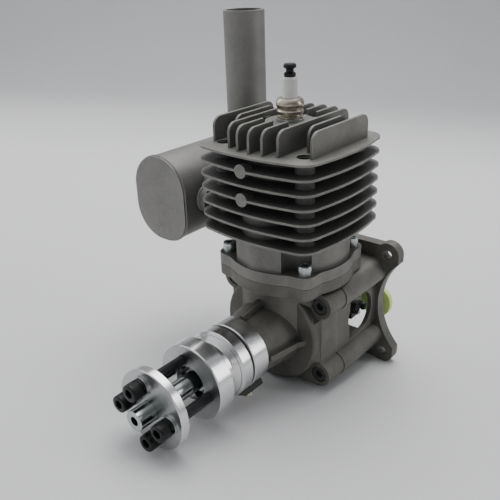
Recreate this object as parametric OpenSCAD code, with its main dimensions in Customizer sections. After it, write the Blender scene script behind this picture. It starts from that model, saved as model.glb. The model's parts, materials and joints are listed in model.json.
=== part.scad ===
// Rear-carburettor single-cylinder two-stroke petrol engine for a model aircraft.
// X runs towards the throttle side, Y towards the firewall, Z up along the cylinder.
// The origin is the centre of the four firewall holes, on the mounting face.

/* [Engine] */
// Cylinder bore
bore = 40; // [38:0.5:41]
// Piston stroke
stroke = 28; // [26:0.5:29]
// Distance between the two eyes of the connecting rod
rod_len = 52; // [51:0.5:55]
// Wrist pin to the top of the piston
crown_h = 21; // [20:0.5:24]
// Wrist pin to the bottom of the piston skirt
skirt_h = 14; // [12:0.5:14]
// Firewall face to the crankshaft and cylinder axes' crossing
axis_to_firewall = 46; // [45:0.5:54]

/* [Crankcase] */
// Wall round the crank chamber
case_wall = 2.5; // [2.4:0.1:4]
// Length of the nose between the case face and the sensor collar
nose_len = 23; // [21:0.5:30]
// Nose radius at the collar
nose_r = 16.2; // [15.8:0.1:17]
// Nose radius at the case face
nose_root_r = 19.2; // [18.6:0.1:20.4]
// Height of the deck's top above the round of the case
deck_rise = 5.2; // [4:0.1:8]
// Thickness of the deck flange
deck_t = 6; // [4:0.1:7]
// Sideways place of the long case screws
case_screw_x = 28.5; // [28:0.1:30]
// Height of the long case screws above and below the crank axis
case_screw_z = 20.6; // [19:0.1:22]
// Wall of the carburettor box
box_wall = 2.5; // [2:0.1:3]
// Radius of the round end of each side window
window_r = 12.3; // [9:0.1:12.5]

/* [Firewall plate] */
// Half the spacing of the firewall holes, across
mount_x = 36.6; // [36:0.1:42]
// Half the spacing of the firewall holes, up and down
mount_z = 31.2; // [30.5:0.1:34]
// Radius of the firewall holes
mount_hole_r = 2.75; // [2:0.05:3.2]
// Thickness of the plate
plate_t = 6; // [4:0.1:8]

/* [Cylinder] */
// Thickness of the cylinder's base flange
base_t = 6.3; // [5:0.1:8]
// Radius of the round part of the base flange
base_r = 33.5; // [32.5:0.1:34.5]
// Sideways place of the cylinder screws
cyl_screw_x = 24.4; // [24:0.1:25.5]
// Fore and aft place of the cylinder screws
cyl_screw_y = 21.8; // [21:0.1:23]
// Radius of the barrel between the fins
barrel_r = 25; // [24:0.1:26]
// Number of barrel fins
fin_count = 7; // [5:1:7]
// Distance from one fin to the next
fin_pitch = 7.11; // [6.4:0.01:7.2]
// Thickness of a fin
fin_t = 1.1; // [0.9:0.1:1.8]
// Half width of a fin, across
fin_x = 35.5; // [34:0.1:38]
// Half length of a fin, fore and aft
fin_y = 34.8; // [34:0.1:38]
// Radius of the fins' corners
fin_corner = 10.7; // [8:0.1:12]
// How far each fin edge bows outwards
fin_bow = 2.4; // [1:0.1:3]
// Height of the upright fins on the head
head_fin_h = 12.1; // [8:0.1:16]
// Distance from one head fin to the next
head_pitch = 7.35; // [7:0.05:7.5]

/* [Muffler] */
// Sideways distance of the muffler's centre from the cylinder axis
can_x = 64.2; // [62:0.1:72]
// Half width of the muffler
can_half_x = 18.5; // [16:0.1:18.5]
// Half height of the muffler
can_half_z = 23.6; // [22.5:0.1:25]
// Muffler length ahead of the cylinder axis
can_front = 33; // [32:0.5:44]
// Muffler length behind the cylinder axis
can_rear = 58; // [57:0.5:70]
// Outer radius of the outlet pipe
stack_r = 11.86; // [9:0.02:12.2]
// Height of the outlet pipe above the crank axis
stack_top = 156.8; // [110:0.2:180]
// Sheet thickness of the muffler
sheet = 1.5; // [1:0.1:2]

/* [Propeller drive] */
// Radius of the hub's front flange
hub_r = 19.8; // [18.5:0.1:22]
// Thickness of the hub's front flange
hub_flange_t = 9.8; // [8:0.1:12]
// Waist length of the hub
hub_neck_l = 8.55; // [7:0.05:12]
// Radius of the hub's rear ring
hub_ring_r = 18.05; // [17:0.05:18.4]
// Radius of the propeller washer
washer_r = 20.2; // [18.5:0.1:24]
// Thickness of the propeller washer
washer_t = 4.65; // [3:0.05:6]
// Gap that the propeller's hub fills
prop_gap = 20.9; // [14:0.1:26]
// Radius of the propeller screws' circle
prop_bolt_r = 12.4; // [12.2:0.05:13.5]
// Radius of the centre stud
stud_r = 5; // [4:0.1:5.4]
// Stud length in front of the propeller washer
stud_proud = 9.65; // [7:0.05:14]

/* [Spark plug] */
// Radius of the plug's thread
plug_thread_r = 5; // [4:0.1:5.5]
// Height of the plug's insulator above its shell
insulator_h = 10.1; // [8:0.1:12]

/* [Hidden] */

$fn = 64;
eps = 0.01;
cast_grey = [0.36, 0.35, 0.33];
bright = [0.82, 0.83, 0.84];
steel = [0.62, 0.63, 0.64];
black = [0.06, 0.06, 0.065];

// Running clearance between a turning or sliding piece and its seat
run_c = 0.06;
// Clearance between a fixed round piece and its seat
seat_c = 0.03;
// Clearance of a screw's shank in a plain hole
hole_c = 0.25;

// Crank chamber, from the rod outwards
axis_y = -axis_to_firewall;
crank_r = stroke / 2;
pin_r = 5;
needle_r = 0.8;
big_wall = 1.4;
big_r = pin_r + 2 * needle_r + 0.1 + big_wall;
rod_w = 10;
web_r = rod_len - crank_r - skirt_h - 2;
turn_gap = 0.4;
// Big end's farthest place from the axis, with the piston at the bottom and the rod swung right out
swing_out = norm([crank_r, rod_len - crank_r - sqrt(rod_len * rod_len - crank_r * crank_r)]);
chamber_r = max(swing_out + big_r, web_r) + turn_gap;
case_r = chamber_r + case_wall;
web_gap = 1;
web_t = 9;
front_wall = 4;
rear_gap = 3.5;
rear_wall = 4;
web_y = axis_y - rod_w / 2 - web_gap;
chamber_front = web_y - web_t - web_gap;
case_face = chamber_front - front_wall;
chamber_rear = axis_y + rod_w / 2 + rear_gap;
wall_rear = chamber_rear + rear_wall;
case_round = 1.6;
flank_rise = 3;
flank_in = 5;

// Nose, collar and hub, going forwards
collar_len = 11;
collar_wall = 3;
tip_gap = 0.5;
ring_gap = 1.7;
hub_ring_t = 7.15;
collar_rear = case_face - nose_len;
collar_front = collar_rear - collar_len;
nose_tip = collar_front + tip_gap;
tip_r = nose_r - 1.2;
collar_r = tip_r + collar_wall;
hub_rear = collar_front - ring_gap;
hub_ring_front = hub_rear - hub_ring_t;
hub_neck_front = hub_ring_front - hub_neck_l;
hub_front = hub_neck_front - hub_flange_t;
hub_waist_r = 14;
recess_r = 9.1;
recess_depth = 10;
recess_floor = hub_front + recess_depth;
washer_back = hub_front - prop_gap;
washer_front = washer_back - washer_t;
stud_tip = washer_front - stud_proud;

// Propeller screws: two pairs on one circle
prop_screw_r = 2.5;
prop_head_r = 4.25;
prop_head_l = 5.2;
flat_washer_t = 1.2;
spring_washer_t = 1.6;
screw_pair_angles = [108.2, 169.8, 288.2, 349.8];

// Main bearings
shaft_r = 6;
journal_r = 7.5;
front_brg_r = 12;
front_brg_w = 6;
front_ball_r = 1.45;
rear_brg_r = 16;
rear_brg_w = 9;
rear_ball_r = 2.4;
ball_count = 9;
front_brg_y = nose_tip + 1;
rear_brg_y = chamber_front - 0.5 - rear_brg_w;
front_pitch_r = (shaft_r + front_brg_r) / 2;
rear_pitch_r = (journal_r + rear_brg_r) / 2;
seal_w = 5;
seal_y = rear_brg_y - 3.5 - seal_w;

// Deck and cylinder, going upwards
deck_z = case_r + deck_rise;
gasket_t = 0.4;
base_z = deck_z + gasket_t;
flange_z = base_z + base_t - gasket_t;
column_r = 27.2;
spigot_r = bore / 2 + 2.5;
spigot_drop = 7;
rod_relief_r = 24.2;
pin_top = crank_r + rod_len;
crown_z = pin_top + crown_h;
squish = 0.9;
dome_h = 6.5;
roof_t = 6.3;
fin_top = crown_z + squish + dome_h + roof_t;
low_fin = fin_top - (fin_count - 1) * fin_pitch;
plateau_r = 12.5;
plateau_z = fin_top + 9.5;
head_fin_t = 1.3;
head_top = fin_top + head_fin_h;
cyl_screw_r = 2;
cyl_head_r = 3.5;
cyl_head_l = 4.4;
cyl_washer_t = 0.8;
access_r = 4;
port_z = fin_top - 35.3;
port_r = 21;
port_bore = 11;
exhaust_gasket_t = 0.8;
exhaust_screw_r = 2;
exhaust_screw_dy = 16.8;
exhaust_head_r = 3.4;
port_face = -(fin_x + fin_bow + 0.6);
neck_r = 31.3;
head_z0 = crown_z + squish;
neck_top = low_fin - fin_t - seat_c;
bulge_top = low_fin + 1.6 * fin_pitch;
bulge_out = 7;

// Muffler
can_z = port_z;
can_side = -(can_x - can_half_x);
outlet_setback = 3;
stack_y = axis_y + can_rear - outlet_setback - stack_r;

// Carburettor, offset towards the throttle side
carb_x = 1.5;
carb_z = -3.5;
carb_half = 13.5;
carb_half_z = 10;
carb_bore = 6.8;
cover_t = 3;
plate_w = 2.5;
block_w = 10;
reed_y = wall_rear;
block_y = reed_y + plate_w;
carb_y = block_y + block_w;
carb_len = 28;
carb_end = carb_y + carb_len;
horn_r = 9.5;
horn_l = 5;
throttle_y = carb_y + 8;
choke_y = carb_end - 6;
spindle_r = 1.5;
carb_screw_r = 2;
carb_screw_dx = 10.5;
carb_screw_dz = 7;
carb_head_r = 3;
cap_r = 12.6;
cap_wall = 2;
cap_tab_r = 10.5;
cap_tab_x = 19.7;
cap_tab_z = -6.5;
lever_t = 2;
lever_gap = 2.4;
intake_r = 7.6;

// Box behind the crank chamber
box_x = case_r + 0.6;
box_z = case_screw_z + 7.5;
ridge_r = 7.5;
lug_r = 7;
lug_front = axis_y - 14.5;
case_screw_r = 2.5;
case_head_r = 4.25;
case_head_l = 5;

// Round bar along Y from y0 to y1
module bar_y(r, y0, y1, x = 0, z = 0) {
    translate([x, y0, z]) rotate([-90, 0, 0]) cylinder(r = r, h = y1 - y0);
}

// Round bar along X from x0 to x1
module bar_x(r, x0, x1, y = 0, z = 0) {
    translate([x0, y, z]) rotate([0, 90, 0]) cylinder(r = r, h = x1 - x0);
}

// Upright round bar from z0 to z1
module bar_z(r, z0, z1, x = 0, y = 0) {
    translate([x, y, z0]) cylinder(r = r, h = z1 - z0);
}

// Outline drawn in X and Z, given thickness from y0 to y1
module slab_y(y0, y1) {
    translate([0, y1, 0]) rotate([90, 0, 0]) linear_extrude(y1 - y0) children();
}

// Profile of radius against Y, turned round the crank axis
module turned(points) {
    rotate([-90, 0, 0]) rotate_extrude() polygon(points);
}

// Profile of radius against Z, turned round the cylinder axis
module turned_up(points) {
    translate([0, axis_y, 0]) rotate_extrude() polygon(points);
}

// Ring along Y
module ring_y(r_out, r_in, y0, y1) {
    turned([[r_in, y0], [r_out, y0], [r_out, y1], [r_in, y1]]);
}

// Places a child at each of four corners of a rectangle in plan, round the cylinder axis
module at_cylinder_screws() {
    for (sx = [-1, 1], sy = [-1, 1])
        translate([sx * cyl_screw_x, axis_y + sy * cyl_screw_y, 0]) children();
}

// Places a child at each long case screw
module at_case_screws() {
    for (sx = [-1, 1], sz = [-1, 1])
        translate([sx * case_screw_x, 0, sz * case_screw_z]) children();
}

// Places a child at each propeller screw
module at_prop_screws() {
    for (a = screw_pair_angles)
        translate([prop_bolt_r * cos(a), 0, prop_bolt_r * sin(a)]) children();
}

// Quarter round of points from the radius r - w on the face y to the radius r behind it
function round_in(r, y, w, n = 10) =
    [for (i = [0:n]) [r - w + w * sin(90 * i / n), y + w * (1 - cos(90 * i / n))]];

// Wavy outline of the deck and the cylinder base: a round with a lobe at each screw
lobe_reach = norm([cyl_screw_x, cyl_screw_y]) + 5.3;
lobe_angle = atan2(cyl_screw_y, cyl_screw_x);
lobe_half = 17;
function lobe_off(a) = min([for (c = [lobe_angle, 180 - lobe_angle, 180 + lobe_angle, 360 - lobe_angle])
    abs(a - c)]);
function lobe_rad(a) = base_r + (lobe_off(a) < lobe_half
    ? (lobe_reach - base_r) * pow(cos(90 * lobe_off(a) / lobe_half), 2) : 0);
module lobed_outline() {
    polygon([for (a = [0:3.75:359]) lobe_rad(a) * [cos(a), sin(a)]]);
}

// One half of the case's deck and the column below it; side is -1 ahead of the seam, 1 behind
module deck_half(side) {
    intersection() {
        translate([0, axis_y, 0]) union() {
            translate([0, 0, deck_z - deck_t]) linear_extrude(deck_t) lobed_outline();
            cylinder(r = column_r, h = deck_z - eps);
        }
        translate([-50, side < 0 ? axis_y - 50 : axis_y, -eps]) cube([100, 50, deck_z + 1]);
    }
}

// Everything that the cylinder, its spigot and its screws need out of the case
module deck_cuts() {
    bar_z(spigot_r + seat_c, deck_z - spigot_drop - 0.5, deck_z + 1, 0, axis_y);
    bar_z(rod_relief_r, 0, deck_z - spigot_drop - 0.4, 0, axis_y);
    at_cylinder_screws() bar_z(cyl_screw_r, deck_z - deck_t + 0.8, deck_z + 1);
}

// Flank that rises out of the round case ahead of the long screws
module rising_flank(w, h) {
    hull() {
        slab_y(case_face + case_round, axis_y) square([w - 2 * flank_rise, h - 2 * flank_rise], center = true);
        slab_y(lug_front + 1, axis_y) square([w, h], center = true);
    }
}

// Upright or level gusset along the nose
module nose_rib() {
    rib_t = 3;
    linear_extrude(rib_t, center = true)
        polygon([[nose_r - 1, collar_rear + 0.6], [collar_r + 1, collar_rear + 0.6],
            [collar_r + 4, collar_rear + nose_len - 4], [collar_r + 6.4, case_face + 1],
            [nose_root_r - 2, case_face + 1]]);
}

module front_crankcase() {
    color(cast_grey) difference() {
        union() {
            turned(concat([[0, nose_tip], [tip_r, nose_tip], [tip_r, collar_rear],
                [nose_r, collar_rear], [nose_root_r, case_face]],
                round_in(case_r, case_face, case_round), [[case_r, axis_y], [0, axis_y]]));
            deck_half(-1);
            at_case_screws() bar_y(lug_r, lug_front, axis_y);
            slab_y(lug_front, axis_y) flank_outline();
            rising_flank(2 * box_x, 2 * (case_screw_z - lug_r));
            rising_flank(2 * (case_screw_x - lug_r - flank_in), 2 * box_z);
            for (a = [0:90:270]) rotate([0, a, 0]) nose_rib();
        }
        bar_y(chamber_r, chamber_front, axis_y + 1);
        bar_y(rear_brg_r + seat_c, rear_brg_y - eps, chamber_front + eps);
        bar_y(journal_r + 3, seal_y + seal_w, rear_brg_y);
        bar_y(front_brg_r + seat_c, nose_tip - 1, seal_y + seal_w);
        deck_cuts();
        at_case_screws() bar_y(case_screw_r + hole_c, lug_front - 1, axis_y + 1);
        at_case_screws() bar_y(case_head_r + 0.4, lug_front - 1, lug_front + case_head_l + 0.4);
    }
}

// Flat flanks in X and Z, from one long screw to the next
module flank_outline() {
    square([2 * box_x, 2 * case_screw_z], center = true);
    square([2 * case_screw_x, 2 * box_z], center = true);
}

// Box outline in X and Z: the flanks with a round ridge at each long screw
module box_outline() {
    flank_outline();
    for (sx = [-1, 1], sz = [-1, 1]) translate([sx * case_screw_x, sz * case_screw_z]) circle(ridge_r);
}

// Inside of the box, kept clear of the screws' ridges
module box_hollow() {
    inner_x = box_x - box_wall;
    inner_z = box_z - box_wall;
    difference() {
        square([2 * inner_x, 2 * inner_z], center = true);
        for (sx = [-1, 1], sz = [-1, 1]) translate([sx * case_screw_x, sz * case_screw_z]) circle(6);
    }
}

// Firewall plate outline: four lobes with hollowed sides
side_waist = box_x + 2.4;
lobe_r = 7;
side_arc = (pow(mount_x + lobe_r * 0.86 - side_waist, 2) + pow(mount_z - 5.2, 2))
    / (2 * (mount_x + lobe_r * 0.86 - side_waist));
module plate_outline() {
    difference() {
        union() {
            square([2 * (mount_x + lobe_r), 2 * mount_z], center = true);
            square([2 * mount_x, 2 * (mount_z + lobe_r - 1.6)], center = true);
            for (sx = [-1, 1], sz = [-1, 1]) translate([sx * mount_x, sz * mount_z]) circle(lobe_r);
        }
        for (s = [-1, 1]) translate([s * (side_waist + side_arc), 0]) circle(side_arc, $fn = 96);
    }
}

window_front = wall_rear + 0.8;
window_rear = -plate_t - 3.4;
slot_x = case_screw_x - ridge_r - 1.5;
slot_corner = 3;
module window_cut(side) {
    x0 = side > 0 ? box_x - box_wall - 4 : -box_x - 1;
    bar_x(window_r, x0, x0 + box_wall + 5, window_rear - window_r, 0);
    translate([x0, window_front, -window_r])
        cube([box_wall + 5, window_rear - window_r - window_front, 2 * window_r]);
}

// Slot with round corners through the box's floor or roof
module slot_cut(side) {
    translate([0, 0, side > 0 ? box_z - box_wall - 1 : -box_z - 1]) linear_extrude(box_wall + 2) {
        for (sx = [-1, 1], y = [window_front + slot_corner, window_rear - slot_corner])
            translate([sx * (slot_x - slot_corner), y]) circle(slot_corner);
        translate([-slot_x, window_front + slot_corner])
            square([2 * slot_x, window_rear - window_front - 2 * slot_corner]);
        translate([slot_corner - slot_x, window_front])
            square([2 * (slot_x - slot_corner), window_rear - window_front]);
    }
}

module rear_crankcase() {
    color(cast_grey) difference() {
        union() {
            slab_y(axis_y, -plate_t + eps) box_outline();
            bar_y(case_r, axis_y, wall_rear);
            slab_y(-plate_t, 0) plate_outline();
            deck_half(1);
        }
        bar_y(chamber_r, axis_y - 1, chamber_rear);
        slab_y(wall_rear, 1) box_hollow();
        bar_y(intake_r, chamber_rear - 1, wall_rear + 1, carb_x, carb_z);
        for (s = [-1, 1]) {
            window_cut(s);
            slot_cut(s);
            for (z = [-mount_z, mount_z]) bar_y(mount_hole_r, -plate_t - 1, 1, s * mount_x, z);
        }
        deck_cuts();
        seam_seal(seat_c);
        at_carb_screws() bar_y(carb_screw_r, wall_rear - rear_wall + 1, wall_rear + 1);
        at_case_screws() bar_y(case_screw_r, axis_y - 1, axis_y + 16);
    }
}

module case_screws() {
    color(black) at_case_screws() difference() {
        union() {
            bar_y(case_head_r, lug_front + 0.4, lug_front + 0.4 + case_head_l);
            bar_y(case_screw_r - seat_c, lug_front + case_head_l, axis_y + 15);
        }
        bar_y(2.3, lug_front - 1, lug_front + 3, $fn = 6);
    }
}

// Flat seal let into the seam between the two halves of the case
seam_seal_t = 0.8;
module seam_seal(c = 0) {
    difference() {
        ring_y(case_r - 0.6 + c, chamber_r + 0.5 - c, axis_y, axis_y + seam_seal_t);
        bar_z(rod_relief_r + 1 - c, 0, deck_z, 0, axis_y);
    }
}

module crankcase_gasket() {
    color([0.25, 0.33, 0.3]) seam_seal();
}

module cylinder_gasket() {
    color([0.22, 0.3, 0.28]) difference() {
        translate([0, axis_y, deck_z]) linear_extrude(gasket_t) difference() {
            lobed_outline();
            circle(spigot_r + 0.4);
        }
        at_cylinder_screws() bar_z(cyl_screw_r + hole_c, deck_z - 1, base_z + 1);
    }
}

// Outline of a fin in plan: rounded corners and slightly bowed edges
module fin_outline() {
    bow_rx = (pow(fin_y - fin_corner, 2) + pow(fin_bow, 2)) / (2 * fin_bow);
    bow_ry = (pow(fin_x - fin_corner, 2) + pow(fin_bow, 2)) / (2 * fin_bow);
    square([2 * (fin_x - fin_corner), 2 * fin_y], center = true);
    square([2 * fin_x, 2 * (fin_y - fin_corner)], center = true);
    for (sx = [-1, 1], sy = [-1, 1])
        translate([sx * (fin_x - fin_corner), sy * (fin_y - fin_corner)]) circle(fin_corner);
    for (s = [-1, 1]) {
        intersection() {
            translate([s * (fin_x + fin_bow - bow_rx), 0]) circle(bow_rx, $fn = 180);
            translate([s * fin_x, 0]) square([2 * fin_bow, 2 * (fin_y - fin_corner)], center = true);
        }
        intersection() {
            translate([0, s * (fin_y + fin_bow - bow_ry)]) circle(bow_ry, $fn = 180);
            translate([0, s * fin_y]) square([2 * (fin_x - fin_corner), 2 * fin_bow], center = true);
        }
    }
}

// Upright head fin in the Y and Z plane with rounded top corners
module head_fin(y_in, y_out) {
    corner = 5;
    translate([-head_fin_t / 2, axis_y, 0]) rotate([90, 0, 90]) linear_extrude(head_fin_t)
        for (s = [-1, 1]) scale([s, 1]) union() {
            translate([y_in, fin_top + eps]) square([y_out - y_in, head_fin_h - corner]);
            translate([y_in, fin_top + eps]) square([y_out - y_in - corner, head_fin_h - eps]);
            translate([y_out - corner, head_top - corner]) circle(corner);
        }
}

// Places a child at each of the two muffler screws
module at_exhaust_screws() {
    for (s = [-1, 1]) translate([0, axis_y + s * exhaust_screw_dy, port_z]) children();
}

// Neck above the base flange with a scoop at each screw head
module cylinder_neck() {
    scoop_r = 8.5;
    scoop_dx = -1.9;
    scoop_dy = 3.7;
    difference() {
        bar_z(neck_r, flange_z - eps, neck_top, 0, axis_y);
        for (sx = [-1, 1], sy = [-1, 1])
            bar_z(scoop_r, flange_z, low_fin, sx * (cyl_screw_x + scoop_dx),
                axis_y + sy * (cyl_screw_y + scoop_dy));
    }
}

// Transfer passage bulge between two heights, drawn larger by the clearance c
module transfer_bulge(z0, z1, c = 0) {
    bulge_r = 13;
    bar_z(bulge_r + c, z0, z1, 0, axis_y - barrel_r - bulge_out + bulge_r);
}

// Exhaust port's round boss, drawn larger by the clearance c
module port_boss(c = 0) {
    bar_x(port_r + c, port_face, -barrel_r / 2 + c, axis_y, port_z);
}

// Flange, spigot and neck
module cylinder_base() {
    difference() {
        union() {
            translate([0, axis_y, base_z]) linear_extrude(flange_z - base_z) lobed_outline();
            bar_z(spigot_r, deck_z - spigot_drop, base_z + 1, 0, axis_y);
            cylinder_neck();
            transfer_bulge(flange_z - eps, neck_top);
        }
        bar_z(bore / 2, deck_z - spigot_drop - 1, low_fin, 0, axis_y);
        port_boss(seat_c);
        at_cylinder_screws() bar_z(cyl_screw_r + hole_c, base_z - 1, flange_z + 1);
    }
}

// Straight tube with the exhaust port
module cylinder_barrel() {
    difference() {
        union() {
            bar_z(barrel_r, neck_top + seat_c, head_z0 - seat_c, 0, axis_y);
            transfer_bulge(neck_top + seat_c, bulge_top);
            port_boss();
        }
        bar_z(bore / 2, port_z - port_r - 1, fin_top, 0, axis_y);
        bar_x(port_bore, port_face - 1, -bore / 2 + 3, axis_y, port_z);
        at_cylinder_screws() bar_z(access_r, flange_z, fin_top + 1);
        at_exhaust_screws() bar_x(exhaust_screw_r, port_face - 1, port_face + 9);
    }
}

// Combustion chamber's roof with the top fin and the round plateau
module cylinder_head() {
    difference() {
        union() {
            bar_z(barrel_r, head_z0, fin_top, 0, axis_y);
            translate([0, axis_y, fin_top - fin_t]) linear_extrude(fin_t) fin_outline();
            bar_z(plateau_r, fin_top - fin_t, plateau_z, 0, axis_y);
        }
        translate([0, axis_y, head_z0 - eps])
            cylinder(r1 = bore / 2 - 3, r2 = plug_thread_r + 1, h = dome_h);
        bar_z(plug_thread_r + seat_c, crown_z, plateau_z + 1, 0, axis_y);
        at_cylinder_screws() bar_z(access_r, flange_z, fin_top + 1);
    }
}

module finned_cylinder() {
    color(cast_grey) {
        cylinder_base();
        cylinder_barrel();
        cylinder_head();
    }
}

// Barrel fins with the screwdriver tunnels that run down through them
module barrel_fins() {
    tunnel_r = access_r + 0.7;
    tunnel_z0 = low_fin - 2.6 - fin_t;
    pad_r = 3.4;
    pad_x = -2;
    color(cast_grey) difference() {
        union() {
            difference() {
                union() {
                    for (i = [1:fin_count - 1]) translate([0, axis_y, fin_top - i * fin_pitch - fin_t])
                        linear_extrude(fin_t) fin_outline();
                    for (i = [1, 3]) bar_y(pad_r, axis_y - fin_y - fin_bow + 0.1, axis_y - fin_y + 3, pad_x,
                        fin_top - fin_t / 2 - i * fin_pitch);
                }
                at_cylinder_screws() bar_z(tunnel_r + seat_c, tunnel_z0, fin_top, $fn = 40);
            }
            at_cylinder_screws() bar_z(tunnel_r, tunnel_z0, fin_top - fin_t - seat_c, $fn = 40);
        }
        bar_z(barrel_r + seat_c, low_fin - fin_t - eps, fin_top + 1, 0, axis_y);
        bar_z(neck_r + seat_c, flange_z, neck_top + seat_c, 0, axis_y);
        port_boss(seat_c);
        transfer_bulge(flange_z, bulge_top + seat_c, seat_c);
        at_cylinder_screws() bar_z(access_r, flange_z, fin_top + 1, $fn = 40);
    }
}

// Upright fins on the head, reaching the bowed edge of the top fin
module head_fins() {
    short_fin = 16;
    outer_fin = 24;
    edge_in = 1.9;
    color(cast_grey) difference() {
        union() {
            for (k = [-2:2]) translate([k * head_pitch, 0, 0]) head_fin(0, fin_y - edge_in - k * k * 0.8);
            for (s = [-1, 1]) {
                translate([s * 3 * head_pitch, 0, 0]) head_fin(0, short_fin);
                translate([s * 4 * head_pitch, 0, 0]) head_fin(0, outer_fin);
            }
        }
        bar_z(plateau_r + seat_c, fin_top - 1, plateau_z + 1, 0, axis_y);
        bar_z(plateau_r + 1.8, plateau_z, head_top + 1, 0, axis_y);
        at_cylinder_screws() bar_z(access_r, fin_top - 1, head_top + 1);
    }
}

module cylinder_screws() {
    head_z = flange_z + cyl_washer_t;
    color(bright) at_cylinder_screws() difference() {
        union() {
            bar_z(cyl_head_r, head_z, head_z + cyl_head_l);
            bar_z(cyl_head_r - 0.1, flange_z, head_z);
            bar_z(cyl_screw_r - seat_c, deck_z - deck_t + 1, head_z);
        }
        bar_z(1.75, head_z + cyl_head_l - 2.4, head_z + cyl_head_l + 1, $fn = 6);
    }
}

// Spark plug, from its seat upwards
plug_washer_t = 1.4;
hex_af = 13.4;
hex_h = 4.6;
shell_r = 6.8;
shell_h = 9.6;
insulator_r = 3.8;
terminal_h = 6;
plug_z = plateau_z + plug_washer_t;
shell_top = plug_z + shell_h;
insulator_top = shell_top + insulator_h;

module plug_washer() {
    color(steel) difference() {
        bar_z(7, plateau_z, plug_z, 0, axis_y);
        bar_z(plug_thread_r + 0.15, plateau_z - 1, plug_z + 1, 0, axis_y);
    }
}

module plug_shell() {
    color([0.72, 0.68, 0.6]) difference() {
        union() {
            bar_z(plug_thread_r, crown_z + squish + dome_h - 1, plug_z, 0, axis_y);
            translate([0, axis_y, plug_z]) cylinder(d = hex_af / cos(30), h = hex_h, $fn = 6);
            turned_up([[0, plug_z], [shell_r - 0.5, plug_z], [shell_r, plug_z + 1],
                [shell_r, shell_top - 2.2],
                [shell_r - 0.4, shell_top - 1.1], [shell_r - 1.3, shell_top - 0.3], [shell_r - 2, shell_top],
                [0, shell_top]]);
        }
        bar_z(insulator_r, crown_z, shell_top + 1, 0, axis_y);
    }
    color(steel) translate([0, axis_y, crown_z + squish + dome_h - 2.4]) difference() {
        cylinder(r = plug_thread_r - 0.2, h = 1.4 + eps);
        translate([-6, 1.2, -1]) cube([12, 8, 4]);
        translate([-6, -9.2, -1]) cube([12, 8, 4]);
        translate([0.4, -3, -1]) cube([8, 6, 4]);
        translate([-3.2, -3, 0.9]) cube([8, 6, 2]);
    }
}

module plug_insulator() {
    z0 = crown_z + squish + dome_h;
    color([0.93, 0.92, 0.88]) turned_up([[1.2, z0 + 0.6], [2.4, z0 + 0.6], [insulator_r - seat_c, z0 + 7],
        [insulator_r - seat_c, insulator_top - 1], [insulator_r - 0.5, insulator_top], [1.2, insulator_top]]);
}

module plug_terminal() {
    z0 = crown_z + squish + dome_h;
    zt = insulator_top;
    color(black) turned_up([[0, z0], [1.15, z0], [1.15, zt], [2.9, zt], [2.9, zt + 1.6], [1.9, zt + 2.2],
        [1.9, zt + 3.6], [3.1, zt + 4.2], [3.1, zt + 5.4], [2.6, zt + terminal_h], [0, zt + terminal_h]]);
}

// Muffler: gasket, stepped flange, can with two caps, outlet pipe
gasket_x = port_face - exhaust_gasket_t;
can_y0 = axis_y - can_front;
can_y1 = axis_y + can_rear;
cap_t = 2;

module exhaust_gasket() {
    color([0.5, 0.48, 0.42]) difference() {
        bar_x(port_r - 0.4, gasket_x, port_face, axis_y, port_z);
        bar_x(port_bore, gasket_x - 1, port_face + 1, axis_y, port_z);
        at_exhaust_screws() bar_x(exhaust_screw_r + hole_c, gasket_x - 1, port_face + 1);
    }
}

module muffler_flange() {
    mid = (gasket_x + can_side) / 2;
    color(cast_grey) difference() {
        union() {
            bar_x(port_r, mid, gasket_x, axis_y, port_z);
            bar_x(port_r - 2.2, can_side - 1, mid, axis_y, port_z);
        }
        bar_x(port_bore, can_side - 2, gasket_x + 1, axis_y, port_z);
        at_exhaust_screws() bar_x(exhaust_screw_r + hole_c, can_side - 2, gasket_x + 1);
        slab_y(can_y0, can_y1) stadium(0);
    }
}

// Stadium outline of the can, fuller at its lower inner corner, drawn smaller by the amount inset
module stadium(inset) {
    straight = can_half_z - can_half_x;
    corner_r = can_half_x - 3.5;
    translate([-can_x, can_z]) {
        square([2 * (can_half_x - inset), 2 * straight], center = true);
        for (s = [-1, 1]) translate([0, s * straight]) circle(can_half_x - inset, $fn = 96);
        translate([can_half_x - corner_r, corner_r - can_half_z]) circle(corner_r - inset, $fn = 96);
        translate([0, corner_r - can_half_z]) square([can_half_x - inset, can_half_z - corner_r]);
        translate([0, inset - can_half_z]) square([can_half_x - corner_r, can_half_z - inset]);
    }
}

module muffler_can() {
    color(cast_grey * 1.1) difference() {
        slab_y(can_y0 + cap_t, can_y1 - cap_t) stadium(0);
        slab_y(can_y0, can_y1) stadium(sheet);
        bar_z(stack_r + seat_c, can_z, can_z + can_half_z + 5, -can_x, stack_y);
        bar_x(port_bore, can_side - 5, can_side + 1, axis_y, port_z);
        at_exhaust_screws() bar_x(exhaust_screw_r + hole_c, can_side - 5, can_side + 1);
    }
}

// Cap on the can's end: a flat plate, a seam bead and a lip inside the can
module end_cap(lip) {
    bead_t = 0.8;
    slab_y(0, cap_t) stadium(0);
    slab_y(cap_t - bead_t, cap_t) stadium(-0.5);
    difference() {
        slab_y(cap_t - eps, cap_t + lip) stadium(sheet + seat_c);
        slab_y(cap_t - 1, cap_t + lip + 1) stadium(sheet + 1.4);
    }
}

module muffler_front_cap() {
    color(cast_grey * 1.1) translate([0, can_y0, 0]) end_cap(2);
}

module muffler_rear_cap() {
    color(cast_grey * 1.1) translate([0, can_y1, 0]) mirror([0, 1, 0]) end_cap(outlet_setback - cap_t - 0.2);
}

module muffler_stack() {
    color(cast_grey * 1.1) difference() {
        bar_z(stack_r, can_z + 8, stack_top, -can_x, stack_y);
        bar_z(stack_r - sheet, can_z + 7, stack_top + 1, -can_x, stack_y);
    }
}

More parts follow.
